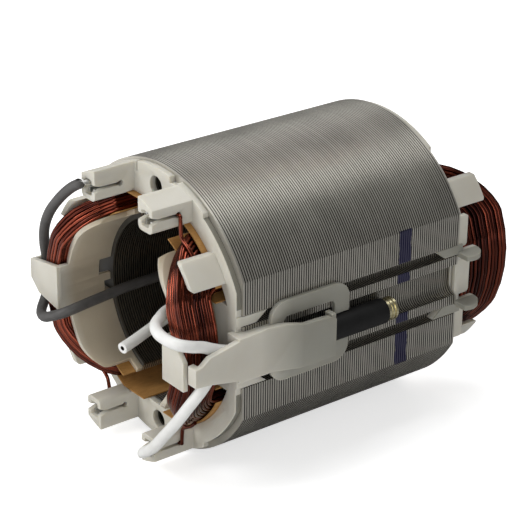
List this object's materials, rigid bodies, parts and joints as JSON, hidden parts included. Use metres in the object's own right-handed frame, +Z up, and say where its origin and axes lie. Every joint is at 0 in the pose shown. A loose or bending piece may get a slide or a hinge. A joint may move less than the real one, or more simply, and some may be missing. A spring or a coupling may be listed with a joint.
{
  "type": "wound field stator",
  "caption": "Wound two-pole field stator of a universal motor: laminated steel core with flats, moulded end frames, copper field coils, slot papers, leads and a sleeved brush terminal.",
  "frame": {"origin": "on the rotor axis at the front face of the lamination stack, midway between the two screw holes", "axes": "+Y along the rotor axis to the rear, front end with the terminal pockets faces -Y, +Z up through a screw hole, flats face -X and +X"},
  "size_m": [0.0712, 0.1014, 0.07],
  "materials": {
    "electrical_steel": "laminated, satin",
    "ivory_moulding": "moulded satin",
    "enamelled_copper": "glossy enamel",
    "slot_paper": "matt paper",
    "tinned_brass": "tin plated",
    "grey_insulation": "matt",
    "white_insulation": "satin",
    "black_sleeving": "matt",
    "bare_brass": "bright"
  },
  "bodies": {
    "root": {"lamination_stack": "electrical_steel", "front_end_frame": "ivory_moulding", "rear_end_frame": "ivory_moulding", "left_field_coil": "enamelled_copper", "right_field_coil": "enamelled_copper", "liner_top_left": "slot_paper", "liner_top_right": "slot_paper", "liner_bottom_left": "slot_paper", "liner_bottom_right": "slot_paper", "terminal_top_left": "tinned_brass", "terminal_top_right": "tinned_brass", "terminal_bottom_left": "tinned_brass", "terminal_bottom_right": "tinned_brass", "coil_tail_top_left": "enamelled_copper", "coil_tail_top_right": "enamelled_copper", "coil_tail_bottom_left": "enamelled_copper", "coil_tail_bottom_right": "enamelled_copper", "grey_lead": "grey_insulation", "grey_lead_terminal": "tinned_brass", "white_brush_lead": "white_insulation", "white_supply_lead": "white_insulation", "black_sleeve": "black_sleeving", "brush_receptacle": "bare_brass"}
  },
  "joints": []
}
